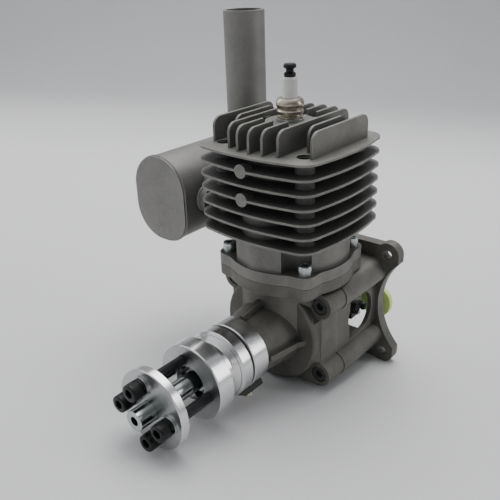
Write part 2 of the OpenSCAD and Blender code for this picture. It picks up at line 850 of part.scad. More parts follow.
module muffler_screws() {
    head_x = can_side - sheet;
    color(steel) at_exhaust_screws() difference() {
        union() {
            bar_x(exhaust_head_r, head_x - 4.4, head_x - 0.6);
            bar_x(exhaust_screw_r - seat_c, head_x - 1, port_face + 8.5);
        }
        bar_x(1.7, head_x - 5, head_x - 2.6, $fn = 6);
    }
}

// Nose fittings
sensor_angle = -68;
sensor_in = max(hub_ring_r, collar_r) + 0.3;
sensor_out = sensor_in + 3;
sensor_w = 8;
sensor_y = collar_rear - 6.5;
ring_c = 0.35;
module at_sensor() {
    rotate([0, -sensor_angle, 0]) children();
}

module sensor_collar() {
    edge = 0.6;
    color(bright) difference() {
        turned([[tip_r + seat_c, collar_front], [collar_r - edge, collar_front],
            [collar_r, collar_front + edge], [collar_r, collar_rear - edge],
            [collar_r - edge, collar_rear], [tip_r + seat_c, collar_rear]]);
        at_sensor() bar_x(1.5, tip_r - 1, collar_r + 1, sensor_y);
    }
}

module dust_ring() {
    color(black) ring_y(collar_r - 0.3, shaft_r + 2.4, hub_rear + ring_c, collar_front);
}

module hall_sensor() {
    front = hub_rear - 3.8;
    rear = collar_rear + 2;
    slope = 5;
    color(black) at_sensor() difference() {
        linear_extrude(sensor_w, center = true)
            polygon([[sensor_in, front], [sensor_in, rear], [sensor_out, rear], [sensor_out, front + slope]]);
        bar_x(1.7, sensor_in - 1, sensor_out + 1, sensor_y);
    }
}

module sensor_screw() {
    color([0.75, 0.68, 0.45]) at_sensor() union() {
        bar_x(1.5 - seat_c, tip_r + 0.3, sensor_out, sensor_y);
        bar_x(2.6, sensor_out, sensor_out + 1.8, sensor_y);
    }
}

// Deep-groove ball bearings
groove_c = 0.12;
module outer_race(r_out, pitch_r, ball, y0, w) {
    difference() {
        ring_y(r_out, pitch_r + ball * 0.62, y0, y0 + w);
        translate([0, y0 + w / 2, 0]) rotate([-90, 0, 0]) rotate_extrude() translate([pitch_r, 0])
            circle(ball + groove_c, $fn = 32);
    }
}

module inner_race(r_in, pitch_r, ball, y0, w) {
    difference() {
        ring_y(pitch_r - ball * 0.62, r_in, y0, y0 + w);
        translate([0, y0 + w / 2, 0]) rotate([-90, 0, 0]) rotate_extrude() translate([pitch_r, 0])
            circle(ball + groove_c, $fn = 32);
    }
}

module ball_cage(pitch_r, ball, y0, w) {
    mid = y0 + w / 2;
    rib = ball * 0.34;
    for (i = [0:ball_count - 1]) rotate([0, i * 360 / ball_count, 0])
        translate([pitch_r, mid, 0]) sphere(ball, $fn = 24);
    difference() {
        ring_y(pitch_r + rib, pitch_r - rib, mid - ball * 0.8, mid + ball * 0.8);
        for (i = [0:ball_count - 1]) rotate([0, i * 360 / ball_count, 0])
            translate([pitch_r - 2 * rib, mid, 0]) rotate([0, 90, 0]) cylinder(r = ball + 0.1, h = 4 * rib);
    }
    for (s = [-1, 1], y = [mid + s * ball * 1.25]) ring_y(pitch_r + rib, pitch_r - rib, y - 0.3, y + 0.3);
}

module outer_races() {
    color(steel) {
        outer_race(front_brg_r, front_pitch_r, front_ball_r, front_brg_y, front_brg_w);
        outer_race(rear_brg_r, rear_pitch_r, rear_ball_r, rear_brg_y, rear_brg_w);
    }
}

module inner_races() {
    color(steel) {
        inner_race(shaft_r, front_pitch_r, front_ball_r, front_brg_y, front_brg_w);
        inner_race(journal_r, rear_pitch_r, rear_ball_r, rear_brg_y, rear_brg_w);
    }
}

module front_ball_cage() {
    color(steel) ball_cage(front_pitch_r, front_ball_r, front_brg_y, front_brg_w);
}

module rear_ball_cage() {
    color(steel) ball_cage(rear_pitch_r, rear_ball_r, rear_brg_y, rear_brg_w);
}

module oil_seal() {
    color(black) ring_y(front_brg_r, journal_r + run_c, seal_y, seal_y + seal_w);
}

// Intake: reed valve, insulator block, carburettor
module carb_block(y0, y1, half = carb_half, half_z = carb_half_z) {
    translate([carb_x - half, y0, carb_z - half_z]) cube([2 * half, y1 - y0, 2 * half_z]);
}

module at_carb_screws() {
    for (s = [-1, 1])
        translate([carb_x + s * carb_screw_dx, 0, carb_z + s * carb_screw_dz]) children();
}

module reed_plate() {
    slit_l = 8.8;
    color(steel) difference() {
        carb_block(reed_y, block_y);
        for (s = [-1, 1]) translate([carb_x + s * 2.9 - 2, reed_y - 1, carb_z - slit_l / 2])
            cube([4, plate_w + 2, slit_l]);
        at_carb_screws() bar_y(carb_screw_r + hole_c, reed_y - 1, block_y + 1);
    }
}

module reed_petals() {
    petal_t = 0.3;
    petal_l = 10.6;
    color([0.3, 0.3, 0.25]) for (s = [-1, 1])
        translate([carb_x + s * 2.9 - 2.6, reed_y - petal_t, carb_z - petal_l / 2])
            cube([5.2, petal_t, petal_l]);
}

module insulator_block() {
    color([0.12, 0.09, 0.07]) difference() {
        carb_block(block_y, carb_y);
        bar_y(carb_bore, block_y - 1, carb_y + 1, carb_x, carb_z);
        at_carb_screws() bar_y(carb_screw_r + hole_c, block_y - 1, carb_y + 1);
    }
}

module carburettor_body() {
    color([0.5, 0.5, 0.5]) difference() {
        union() {
            carb_block(carb_y, carb_y + 4);
            carb_block(carb_y + 3, carb_end - 1, carb_half, carb_half_z - 1);
            carb_block(carb_end - 3, carb_end, carb_half - 1, carb_half_z);
            bar_y(horn_r, carb_end - 1, carb_end + horn_l, carb_x, carb_z);
            for (z = [-1, 1]) translate([carb_x - 10, carb_y + 5, carb_z + z * (carb_half_z - 1) - 1])
                cube([20, carb_len - 10, 2]);
        }
        turned_at(carb_x, carb_z, [[0, carb_y - 1], [carb_bore, carb_y - 1], [carb_bore, carb_y + 10.8],
            [carb_bore - 1.2, carb_y + 15], [carb_bore, carb_y + 19], [carb_bore, carb_end + 1],
            [carb_bore + 1.4, carb_end + horn_l + 1], [0, carb_end + horn_l + 1]]);
        at_carb_screws() bar_y(carb_screw_r + hole_c, carb_y - 1, carb_end + 1);
        bar_x(spindle_r + run_c, carb_x - carb_half - 1, carb_x + carb_half + 1, throttle_y, carb_z);
        bar_x(spindle_r + run_c, carb_x - carb_half - 1, carb_x + carb_half + 1, choke_y, carb_z);
        for (y = needle_ys)
            bar_x(1.2, carb_x - carb_half - 1, carb_x - carb_half + 2.6, y, carb_z + needle_dz);
    }
}

// Profile turned about an axis along Y through x, z
module turned_at(x, z, points) {
    translate([x, 0, z]) turned(points);
}

needle_ys = [carb_y + 12, carb_y + 16.5];
needle_dz = 6;
module mixture_needles() {
    color([0.78, 0.7, 0.45]) for (y = needle_ys) {
        bar_x(1.2 - seat_c, carb_x - carb_half - 3, carb_x - carb_half + 2.4, y, carb_z + needle_dz);
        bar_x(2, carb_x - carb_half - 6, carb_x - carb_half - 3 + eps, y, carb_z + needle_dz);
    }
}

cover_y0 = carb_y + 5;
cover_len = carb_len - 10;
module cover(z0) {
    translate([carb_x - 10, cover_y0, z0]) cube([20, cover_len, cover_t]);
}

module pump_cover() {
    color(black) difference() {
        cover(carb_z + carb_half_z);
        bar_z(1.5, carb_z, carb_z + carb_half_z + cover_t + 1, carb_x, cover_y0 + cover_len / 2);
        bar_z(1.5, carb_z, carb_z + carb_half_z + cover_t + 1, carb_x + 6.5, cover_y0 + 4);
    }
}

module metering_cover() {
    color(black) difference() {
        cover(carb_z - carb_half_z - cover_t);
        for (sx = [-1, 1], ey = [2.4, cover_len - 2.4])
            bar_z(1.2, carb_z - 30, carb_z - carb_half_z + 1, carb_x + sx * 7.6, cover_y0 + ey);
        bar_z(1, carb_z - 30, carb_z - carb_half_z + 1, carb_x, cover_y0 + cover_len / 2);
    }
}

module cover_screws() {
    top = carb_z + carb_half_z + cover_t;
    low = carb_z - carb_half_z - cover_t;
    color(steel) {
        bar_z(1.5 - seat_c, top - cover_t, top + eps, carb_x, cover_y0 + cover_len / 2);
        bar_z(2.8, top, top + 1.6, carb_x, cover_y0 + cover_len / 2);
        for (sx = [-1, 1], ey = [2.4, cover_len - 2.4]) {
            bar_z(1.2 - seat_c, low - eps, low + cover_t, carb_x + sx * 7.6, cover_y0 + ey);
            bar_z(2, low - 1.2, low, carb_x + sx * 7.6, cover_y0 + ey);
        }
    }
}

module fuel_nipple() {
    top = carb_z + carb_half_z + cover_t;
    color([0.78, 0.7, 0.45]) difference() {
        translate([carb_x + 6.5, cover_y0 + 4, 0]) rotate_extrude() polygon([[0, top - cover_t],
            [1.45, top - cover_t], [1.45, top], [2.2, top], [2.2, top + 1], [1.6, top + 1], [1.6, top + 5],
            [2.1, top + 5.4], [1.5, top + 8], [0, top + 8]]);
        bar_z(0.8, top - cover_t - 1, top + 9, carb_x + 6.5, cover_y0 + 4);
    }
}

module carburettor_screws() {
    color(steel) at_carb_screws() difference() {
        union() {
            bar_y(carb_screw_r - seat_c, wall_rear - rear_wall + 1.2, carb_end + eps);
            bar_y(carb_head_r, carb_end, carb_end + 3.6);
        }
        bar_y(1.7, carb_end + 1.6, carb_end + 5, $fn = 6);
    }
}

module air_horn_cap() {
    y0 = carb_end + 3.9;
    cap_web = 15;
    color([0.75, 0.85, 0.2]) difference() {
        slab_y(y0, carb_end + horn_l + cap_wall) {
            translate([carb_x, carb_z]) circle(cap_r);
            translate([carb_x + cap_tab_x, carb_z + cap_tab_z]) circle(cap_tab_r);
            translate([carb_x, carb_z]) rotate(atan2(cap_tab_z, cap_tab_x))
                translate([0, -cap_web / 2]) square([cap_tab_x, cap_web]);
        }
        bar_y(horn_r + seat_c, y0 - 1, carb_end + horn_l, carb_x, carb_z);
    }
}

// Round valve plate on its spindle, which is long on the lever's side only; side is 1 or -1
module valve(y, side) {
    long_end = carb_half + lever_gap + lever_t;
    short_end = carb_half + 1;
    bar_x(spindle_r, carb_x - (side < 0 ? long_end : short_end),
        carb_x + (side > 0 ? long_end : short_end), y, carb_z);
    bar_y(carb_bore - 0.12, y - 0.5, y + 0.5, carb_x, carb_z);
}

// Lever arm in the Y and Z plane, with a hole near its end
module lever(x0, y, reach, angle) {
    translate([x0, y, carb_z]) rotate([angle, 0, 0]) difference() {
        union() {
            bar_x(3.6, 0, lever_t);
            bar_x(2.4, 0, lever_t, 0, reach);
            translate([0, -2.4, 0]) cube([lever_t, 4.8, reach]);
        }
        bar_x(spindle_r, -1, lever_t + 1);
        bar_x(0.9, -1, lever_t + 1, 0, reach);
    }
}

module throttle_valve() {
    color(steel) valve(throttle_y, 1);
}

module throttle_lever() {
    color(black) lever(carb_x + carb_half + lever_gap, throttle_y, 11.5, -110);
}

module choke_valve() {
    color(steel) {
        valve(choke_y, -1);
        lever(carb_x - carb_half - lever_gap - lever_t, choke_y, 9, -150);
    }
}

// Crankshaft with one web; its crankpin end is left open at the rod
module web_outline() {
    circle(11);
    translate([0, crank_r]) circle(web_r - crank_r - 0.2);
    translate([-7, 0]) square([14, crank_r]);
    intersection() {
        circle(web_r, $fn = 96);
        translate([-web_r, -web_r]) square([2 * web_r, web_r - 3]);
    }
}

module crankshaft() {
    color(steel) difference() {
        union() {
            bar_y(shaft_r, recess_floor, front_brg_y + front_brg_w);
            bar_y(journal_r, front_brg_y + front_brg_w, web_y - web_t);
            slab_y(web_y - web_t, web_y) web_outline();
        }
        key_block(0);
    }
}

key_w = 3;
key_h = 2.6;
module key_block(c) {
    translate([-key_w / 2, hub_rear - 9, shaft_r - key_h / 2]) cube([key_w, 8, key_h]);
}

module hub_key() {
    color(steel) key_block(0);
}

module prop_hub() {
    edge = 0.5;
    color(bright) difference() {
        turned([[0, hub_front], [hub_r - edge, hub_front], [hub_r, hub_front + edge],
            [hub_r, hub_neck_front - edge], [hub_r - edge, hub_neck_front], [hub_waist_r + 2, hub_neck_front],
            [hub_waist_r, hub_neck_front + 2], [hub_waist_r, hub_ring_front - 2.5],
            [hub_waist_r + 2.5, hub_ring_front], [hub_ring_r - 1.2, hub_ring_front],
            [hub_ring_r, hub_ring_front + 1.2], [hub_ring_r, hub_rear], [shaft_r + 1.4, hub_rear],
            [shaft_r + 1.4, front_brg_y], [0, front_brg_y]]);
        bar_y(shaft_r, hub_front - 1, front_brg_y + 1);
        bar_y(recess_r, hub_front - 1, recess_floor);
        at_prop_screws() bar_y(prop_screw_r, hub_front - 1, hub_front + prop_thread);
        key_block(0);
        at_sensor() bar_x(2, hub_ring_r - 3.2, hub_ring_r + 1, hub_rear - 3.4);
    }
}

prop_thread = 8.6;
module hub_magnet() {
    color([0.7, 0.7, 0.72]) at_sensor() bar_x(2 - seat_c, hub_ring_r - 3.2, hub_ring_r - 0.4, hub_rear - 3.4);
}

module prop_stud() {
    stud_hex = 14;
    color(steel) difference() {
        union() {
            bar_y(stud_r, stud_tip, recess_floor);
            translate([0, recess_floor - 5, 0]) rotate([-90, 0, 0])
                cylinder(d = stud_hex / cos(30), h = 5, $fn = 6);
        }
        bar_y(2.3, stud_tip - 1, stud_tip + 12);
    }
}

module prop_washer() {
    edge = 0.4;
    color(bright) difference() {
        turned([[0, washer_front], [washer_r - edge, washer_front], [washer_r, washer_front + edge],
            [washer_r, washer_back - edge], [washer_r - edge, washer_back], [0, washer_back]]);
        bar_y(stud_r + 0.1, washer_front - 1, washer_back + 1);
        at_prop_screws() bar_y(prop_screw_r + hole_c, washer_front - 1, washer_back + 1);
    }
}

flat_front = washer_front - flat_washer_t;
spring_front = flat_front - spring_washer_t;
module prop_flat_washers() {
    color(bright) at_prop_screws() difference() {
        bar_y(prop_head_r + 0.5, flat_front, washer_front);
        bar_y(prop_screw_r + hole_c, flat_front - 1, washer_front + 1);
    }
}

module prop_spring_washers() {
    color(black) at_prop_screws() difference() {
        bar_y(prop_head_r, spring_front, flat_front);
        bar_y(prop_screw_r + hole_c, spring_front - 1, flat_front + 1);
        translate([0, spring_front - 1, -0.4]) cube([6, spring_washer_t + 2, 0.8]);
    }
}

module prop_screws() {
    color(black) at_prop_screws() difference() {
        union() {
            bar_y(prop_head_r, spring_front - prop_head_l, spring_front);
            bar_y(prop_screw_r - seat_c, spring_front - eps, hub_front + prop_thread - 0.4);
        }
        bar_y(2.3, spring_front - prop_head_l - 1, spring_front - prop_head_l + 2.6, $fn = 6);
    }
}

// Piston, at the top of its stroke
wrist_r = 5;
wrist_half = 14.6;
piston_r = bore / 2 - run_c;
ring_t = 1.2;
ring_tops = [crown_z - 3, crown_z - 6.2];
clip_t = 0.8;

module piston() {
    inner_r = bore / 2 - 3.6;
    boss_r = 8.2;
    boss_in = 6.4;
    boss_out = 18;
    color([0.7, 0.7, 0.69]) difference() {
        union() {
            difference() {
                bar_z(piston_r, pin_top - skirt_h, crown_z, 0, axis_y);
                bar_z(inner_r, pin_top - skirt_h - 1, crown_z - 5, 0, axis_y);
            }
            intersection() {
                bar_z(inner_r + 0.5, pin_top - skirt_h, crown_z - 1, 0, axis_y);
                for (s = [-1, 1]) translate([0, axis_y, pin_top]) rotate([s * 90, 0, 0])
                    translate([0, 0, boss_in]) cylinder(r = boss_r, h = boss_out - boss_in);
            }
        }
        bar_y(wrist_r + seat_c, axis_y - bore, axis_y + bore, 0, pin_top);
        for (s = [-1, 1]) bar_y(wrist_r + 0.45, axis_y + s * (wrist_half + 0.6) - 0.5,
            axis_y + s * (wrist_half + 0.6) + 0.5, 0, pin_top);
        for (z = ring_tops) turned_up([[piston_r - 2, z - ring_t - 0.04], [piston_r + 1, z - ring_t - 0.04],
            [piston_r + 1, z + 0.04], [piston_r - 2, z + 0.04]]);
    }
}

module piston_rings() {
    color(steel) for (z = ring_tops) turned_up([[piston_r - 1.9, z - ring_t], [bore / 2 - 0.03, z - ring_t],
        [bore / 2 - 0.03, z], [piston_r - 1.9, z]]);
}

module wrist_pin() {
    color(bright) difference() {
        bar_y(wrist_r, axis_y - wrist_half, axis_y + wrist_half, 0, pin_top);
        bar_y(3, axis_y - wrist_half - 1, axis_y + wrist_half + 1, 0, pin_top);
    }
}

module pin_circlips() {
    color(steel) for (s = [-1, 1]) difference() {
        bar_y(wrist_r + 0.35, axis_y + s * (wrist_half + 0.6) - clip_t / 2,
            axis_y + s * (wrist_half + 0.6) + clip_t / 2, 0, pin_top);
        bar_y(wrist_r - 0.9, axis_y - bore, axis_y + bore, 0, pin_top);
    }
}

// Connecting rod: two eyes and a fluted shank
small_brg_r = 6.3;
small_eye_r = 8.2;
module connecting_rod() {
    eye_half = rod_w / 2;
    shank_half = 3.4;
    color([0.45, 0.45, 0.46]) difference() {
        union() {
            bar_y(small_eye_r, axis_y - eye_half, axis_y + eye_half, 0, pin_top);
            bar_y(big_r, axis_y - eye_half, axis_y + eye_half, 0, crank_r);
            slab_y(axis_y - shank_half, axis_y + shank_half) polygon([[-6.4, crank_r + 4], [6.4, crank_r + 4],
                [4.6, pin_top - 4], [-4.6, pin_top - 4]]);
        }
        bar_y(small_brg_r, axis_y - rod_w, axis_y + rod_w, 0, pin_top);
        bar_y(pin_r + 2 * needle_r + 0.1, axis_y - rod_w, axis_y + rod_w, 0, crank_r);
        for (s = [-1, 1]) translate([-2.4, axis_y + s * shank_half - 1.2, crank_r + big_r + 2.4])
            cube([4.8, 2.4, rod_len - big_r - small_eye_r - 4.8]);
    }
}

module small_end_bearing() {
    color([0.72, 0.6, 0.38]) difference() {
        bar_y(small_brg_r - seat_c, axis_y - rod_w / 2, axis_y + rod_w / 2, 0, pin_top);
        bar_y(wrist_r + run_c, axis_y - rod_w, axis_y + rod_w, 0, pin_top);
    }
}

module crankpin() {
    color(steel) bar_y(pin_r, web_y + 0.3, axis_y + rod_w / 2 + 1, 0, crank_r);
}

needle_count = 14;
module crankpin_needles() {
    pitch = pin_r + needle_r + 0.05;
    color(bright) for (i = [0:needle_count - 1]) {
        a = i * 360 / needle_count;
        bar_y(needle_r, axis_y - rod_w / 2 + 0.6, axis_y + rod_w / 2 - 0.6,
            pitch * cos(a), crank_r + pitch * sin(a));
    }
}

front_crankcase();
rear_crankcase();
case_screws();
crankcase_gasket();
cylinder_gasket();
finned_cylinder();
barrel_fins();
head_fins();
cylinder_screws();
plug_washer();
plug_shell();
plug_insulator();
plug_terminal();
exhaust_gasket();
muffler_flange();
muffler_can();
muffler_front_cap();
muffler_rear_cap();
muffler_stack();
muffler_screws();
sensor_collar();
dust_ring();
hall_sensor();
sensor_screw();
outer_races();
oil_seal();
reed_plate();
reed_petals();
insulator_block();
carburettor_body();
pump_cover();
metering_cover();
cover_screws();
carburettor_screws();
fuel_nipple();
mixture_needles();
air_horn_cap();
crankshaft();
inner_races();
hub_key();
prop_hub();
hub_magnet();
prop_stud();
prop_washer();
prop_flat_washers();
prop_spring_washers();
prop_screws();
front_ball_cage();
rear_ball_cage();
piston();
piston_rings();
wrist_pin();
pin_circlips();
connecting_rod();
small_end_bearing();
crankpin();
crankpin_needles();
throttle_valve();
throttle_lever();
choke_valve();
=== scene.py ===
import json
import math

import bmesh
import bpy
from mathutils import Matrix, Vector


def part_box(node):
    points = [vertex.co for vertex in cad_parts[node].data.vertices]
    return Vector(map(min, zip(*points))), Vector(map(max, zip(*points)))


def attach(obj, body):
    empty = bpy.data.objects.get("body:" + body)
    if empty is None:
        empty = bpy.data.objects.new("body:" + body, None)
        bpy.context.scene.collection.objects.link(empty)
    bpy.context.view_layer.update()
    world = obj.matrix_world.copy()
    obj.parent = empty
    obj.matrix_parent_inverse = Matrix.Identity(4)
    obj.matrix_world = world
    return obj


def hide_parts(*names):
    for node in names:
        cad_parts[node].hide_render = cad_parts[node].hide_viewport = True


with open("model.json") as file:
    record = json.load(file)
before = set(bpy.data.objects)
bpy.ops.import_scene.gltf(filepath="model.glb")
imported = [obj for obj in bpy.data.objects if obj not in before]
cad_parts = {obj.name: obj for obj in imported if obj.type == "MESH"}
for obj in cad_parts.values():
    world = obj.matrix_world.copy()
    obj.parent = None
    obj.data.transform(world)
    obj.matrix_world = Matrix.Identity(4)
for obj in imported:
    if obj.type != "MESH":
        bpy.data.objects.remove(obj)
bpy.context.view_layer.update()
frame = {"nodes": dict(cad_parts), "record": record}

MM = 0.001
NODES = frame["nodes"]


# Places taken from the frame

def span(node, axis):
    """Lowest and highest coordinate of a node along an axis, in metres."""
    low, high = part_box(node)
    return low[axis], high[axis]


def centre(node, axis):
    """Middle coordinate of a node along an axis, in metres."""
    low, high = span(node, axis)
    return (low + high) / 2


CYLINDER_Y = centre("plug_shell", 1)
SCREW_FRONT = span("prop_screws", 1)[0]
SPRING_FRONT = span("prop_spring_washers", 1)[0]
FLAT_FRONT = span("prop_flat_washers", 1)[0]
SCREW_CIRCLE = 12.4 * MM
SCREW_ANGLES = [108.2, 169.8, 288.2, 349.8]
PROP_HEAD_R = 4.25 * MM
PROP_SHANK_R = 2.47 * MM
CAN_HALF_X = 18.5 * MM


# Camera, matched to the photograph

CAMERA_PLACE = (189.196 * MM, -301.78 * MM, 185.531 * MM)
CAMERA_AZIMUTH = 40.461
CAMERA_ELEVATION = 24.566
CAMERA_ROLL = -2.005
FOCAL_PX = 648.68
FRAME_PX = 500
SENSOR = 36


def make_camera():
    az = math.radians(CAMERA_AZIMUTH)
    el = math.radians(CAMERA_ELEVATION)
    roll = math.radians(CAMERA_ROLL)
    back = Vector((math.sin(az) * math.cos(el), -math.cos(az) * math.cos(el), math.sin(el)))
    right = Vector((math.cos(az), math.sin(az), 0))
    up = back.cross(right)
    turned_right = right * math.cos(roll) + up * math.sin(roll)
    turned_up = up * math.cos(roll) - right * math.sin(roll)
    data = bpy.data.cameras.new("camera")
    data.sensor_width = SENSOR
    data.sensor_fit = "HORIZONTAL"
    data.lens = FOCAL_PX * SENSOR / FRAME_PX
    data.clip_start = 0.01
    data.clip_end = 30
    camera = bpy.data.objects.new("camera", data)
    turn = Matrix((turned_right, turned_up, back)).transposed().to_4x4()
    camera.matrix_world = Matrix.Translation(CAMERA_PLACE) @ turn
    bpy.context.collection.objects.link(camera)
    bpy.context.scene.camera = camera


# Materials: every one is procedural

class Shader:
    """A material with its Principled shader and short calls for the nodes it needs."""

    def __init__(self, name, colour, metallic, roughness):
        self.material = bpy.data.materials.new(name)
        self.material.use_nodes = True
        self.tree = self.material.node_tree
        self.main = self.tree.nodes["Principled BSDF"]
        self.main.inputs["Base Color"].default_value = (*colour, 1)
        self.main.inputs["Metallic"].default_value = metallic
        self.main.inputs["Roughness"].default_value = roughness
        self.colour = colour
        self.place = self.node("ShaderNodeTexCoord").outputs["Object"]
        self.normal = None

    def node(self, kind, **values):
        node = self.tree.nodes.new(kind)
        for key, value in values.items():
            setattr(node, key, value)
        return node

    def link(self, a, b):
        self.tree.links.new(a, b)

    def noise(self, scale, detail=3, rough=0.55, place=None):
        node = self.node("ShaderNodeTexNoise")
        node.inputs["Scale"].default_value = scale
        node.inputs["Detail"].default_value = detail
        node.inputs["Roughness"].default_value = rough
        self.link(place or self.place, node.inputs["Vector"])
        return node.outputs["Fac"]

    def remap(self, value, low, high, from_low=0.0, from_high=1.0):
        node = self.node("ShaderNodeMapRange")
        node.inputs["From Min"].default_value = from_low
        node.inputs["From Max"].default_value = from_high
        node.inputs["To Min"].default_value = low
        node.inputs["To Max"].default_value = high
        self.link(value, node.inputs["Value"])
        return node.outputs["Result"]

    def math(self, operation, a, b=None):
        node = self.node("ShaderNodeMath", operation=operation)
        for socket, value in zip(node.inputs, (a, b)):
            if isinstance(value, (int, float)):
                socket.default_value = value
            elif value is not None:
                self.link(value, socket)
        return node.outputs[0]

    def mix(self, factor, a, b):
        node = self.node("ShaderNodeMix", data_type="RGBA")
        self.link(factor, node.inputs["Factor"])
        for socket, value in ((node.inputs[6], a), (node.inputs[7], b)):
            if isinstance(value, tuple):
                socket.default_value = (*value, 1)
            else:
                self.link(value, socket)
        return node.outputs[2]

    def soften(self, radius):
        """Rounds the look of sharp edges, by radius in metres."""
        node = self.node("ShaderNodeBevel", samples=6)
        node.inputs["Radius"].default_value = radius
        self.normal = node.outputs["Normal"]
        self.link(self.normal, self.main.inputs["Normal"])
        return self

    def bump(self, height, distance, strength=1.0):
        node = self.node("ShaderNodeBump")
        node.inputs["Distance"].default_value = distance
        node.inputs["Strength"].default_value = strength
        self.link(height, node.inputs["Height"])
        if self.normal is not None:
            self.link(self.normal, node.inputs["Normal"])
        self.normal = node.outputs["Normal"]
        self.link(self.normal, self.main.inputs["Normal"])
        return self

    def edge_mask(self, radius):
        """1 near sharp edges and 0 on flat faces."""
        bevel = self.node("ShaderNodeBevel", samples=6)
        bevel.inputs["Radius"].default_value = radius
        true_normal = self.node("ShaderNodeNewGeometry").outputs["Normal"]
        dot = self.node("ShaderNodeVectorMath", operation="DOT_PRODUCT")
        self.link(bevel.outputs["Normal"], dot.inputs[0])
        self.link(true_normal, dot.inputs[1])
        return self.remap(dot.outputs["Value"], 1.0, 0.0, 0.80, 0.995)

    def painted_shade_mask(self, reach):
        """1 where a surface lies open, towards 0 deep in a gap; it masks the shade painted into gaps."""
        node = self.node("ShaderNodeAmbientOcclusion", samples=6)
        node.inputs["Distance"].default_value = reach
        return self.remap(node.outputs["AO"], 0, 1, 0.22, 0.72)

    def around(self, x, z):
        """(radius, Y) of each point about an axis along Y through x, z, as a vector."""
        split = self.node("ShaderNodeSeparateXYZ")
        self.link(self.place, split.inputs[0])
        dx = self.math("SUBTRACT", split.outputs[0], x)
        dz = self.math("SUBTRACT", split.outputs[2], z)
        squares = self.math("ADD", self.math("MULTIPLY", dx, dx), self.math("MULTIPLY", dz, dz))
        radius = self.math("SQRT", squares)
        joined = self.node("ShaderNodeCombineXYZ")
        self.link(radius, joined.inputs[0])
        self.link(split.outputs[1], joined.inputs[1])
        return joined.outputs[0]


def cast_metal(name, colour, grain=0.00011, mottle=0.7):
    """Blasted die casting: fine pits and soft flow marks, with shade painted into its gaps and highlights
    painted on its edges.
    """
    s = Shader(name, colour, 0.55, 0.5)
    s.soften(0.00045)
    light = tuple(min(1, c * (1 + 0.35 * mottle)) for c in colour)
    dark = tuple(c * (1 - 0.28 * mottle) for c in colour)
    cloud = s.remap(s.noise(55, 4, 0.6), 0, 1, 0.35, 0.68)
    mottled = s.mix(cloud, dark, light)
    speck = s.remap(s.noise(2600, 2, 0.5), 0, 1, 0.35, 0.7)
    speckled = s.mix(s.math("MULTIPLY", speck, 0.35), mottled, tuple(min(1, c * 1.9) for c in colour))
    # Painted shade: deep in gaps the colour falls to a cool dark grey.
    painted_gap_shade = s.mix(s.painted_shade_mask(0.012), (colour[0] * 0.6, colour[1] * 0.64, colour[2] * 0.66), speckled)
    # Painted highlight: sharp edges are brightened towards three times the colour.
    edge = s.math("MULTIPLY", s.edge_mask(0.0004), 0.7)
    s.link(s.mix(edge, painted_gap_shade, tuple(min(1, c * 3.0) for c in colour)), s.main.inputs["Base Color"])
    s.link(s.remap(s.noise(240, 3), 0.44, 0.64), s.main.inputs["Roughness"])
    s.bump(s.noise(1500, 3, 0.6), grain, 0.8)
    return s.material


def turned_metal(name, colour, rim_rough, face_rough, x=0.0, z=0.0, lines=0.000003):
    """Lathe-turned bright metal with fine rings about an axis along Y. Faced ends are rougher than rims, and
    their colour is painted darker as a dim reflection.
    """
    s = Shader(name, colour, 1.0, rim_rough)
    s.soften(0.0003)
    rings = s.noise(7000, 2, 0.4, s.around(x, z))
    split = s.node("ShaderNodeSeparateXYZ")
    s.link(s.node("ShaderNodeNewGeometry").outputs["Normal"], split.inputs[0])
    faced = s.remap(s.math("ABSOLUTE", split.outputs[1]), 0, 1, 0.85, 0.98)
    rough = s.remap(faced, rim_rough, face_rough)
    swing = s.remap(rings, 0.8, 1.3, 0.3, 0.7)
    s.link(s.math("MULTIPLY", rough, swing), s.main.inputs["Roughness"])
    s.bump(rings, lines, 0.5)
    tone = s.remap(s.noise(60, 3), 0, 1, 0.3, 0.7)
    rim = s.mix(tone, tuple(c * 0.88 for c in colour), colour)
    # Painted reflection: faces turned towards Y are darkened to 0.72 of the colour.
    s.link(s.mix(faced, rim, tuple(c * 0.72 for c in colour)), s.main.inputs["Base Color"])
    s.main.inputs["Anisotropic"].default_value = 0.55
    tangent = s.node("ShaderNodeTangent", direction_type="RADIAL", axis="Y")
    s.link(tangent.outputs["Tangent"], s.main.inputs["Tangent"])
    return s.material


def plated_metal(name, colour, rough, grain=0.00001):
    """Plated or oxide-finished steel: smooth, slightly clouded, brighter on the edges."""
    s = Shader(name, colour, 1.0, rough)
    s.soften(0.0002)
    tone = s.remap(s.noise(220, 3), 0, 1, 0.3, 0.7)
    clouded = s.mix(tone, tuple(c * 0.8 for c in colour), colour)
    edge = s.math("MULTIPLY", s.edge_mask(0.0002), 0.4)
    s.link(s.mix(edge, clouded, tuple(min(1, c * 1.5 + 0.02) for c in colour)), s.main.inputs["Base Color"])
    s.link(s.remap(s.noise(800, 2), rough * 0.8, rough * 1.3), s.main.inputs["Roughness"])
    s.bump(s.noise(2600, 2), grain, 0.5)
    return s.material


def black_oxide(name, dust=0.0):
    """Blackened steel; dust is the lightness that lies on it."""
    s = Shader(name, (0.012 + dust, 0.012 + dust, 0.013 + dust), 0.3, 0.38)
    s.soften(0.0002)
    tone = s.remap(s.noise(500, 3), 0, 1, 0.3, 0.7)
    dark = (0.008 + dust, 0.008 + dust, 0.009 + dust)
    light = (0.02 + dust * 2, 0.02 + dust * 2, 0.021 + dust * 2)
    worn = s.mix(tone, dark, light)
    edge = s.math("MULTIPLY", s.edge_mask(0.00018), 0.3)
    s.link(s.mix(edge, worn, (0.05, 0.05, 0.05)), s.main.inputs["Base Color"])
    s.main.inputs["Specular IOR Level"].default_value = 0.3
    s.link(s.remap(s.noise(900, 2), 0.3 + dust * 8, 0.48 + dust * 8), s.main.inputs["Roughness"])
    s.bump(s.noise(2400, 2), 0.00001, 0.5)
    return s.material


